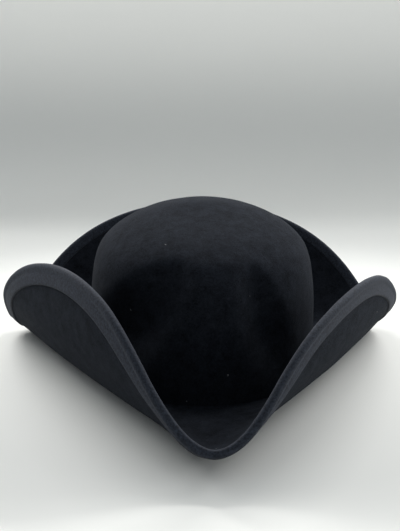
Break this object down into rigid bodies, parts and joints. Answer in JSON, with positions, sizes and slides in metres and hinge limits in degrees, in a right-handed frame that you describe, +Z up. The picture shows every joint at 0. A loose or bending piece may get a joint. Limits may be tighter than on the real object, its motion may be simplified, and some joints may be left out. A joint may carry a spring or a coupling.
{
  "type": "tricorn hat",
  "caption": "Cocked felt hat: a domed crown, a wide brim rolled up on three sides into corners, and a ribbon bound round its edge.",
  "frame": {"origin": "on the surface the hat rests on, under the middle of its outline", "axes": "-Y toward the front corner, +X toward the wearer's left, +Z up"},
  "size_m": [0.33, 0.3406, 0.1293],
  "materials": {
    "felt": "matt black wool felt",
    "ribbon": "black ribbon, a little smoother than the felt"
  },
  "bodies": {
    "root": {"felt_body": "felt", "edge_binding": "ribbon"}
  },
  "joints": []
}
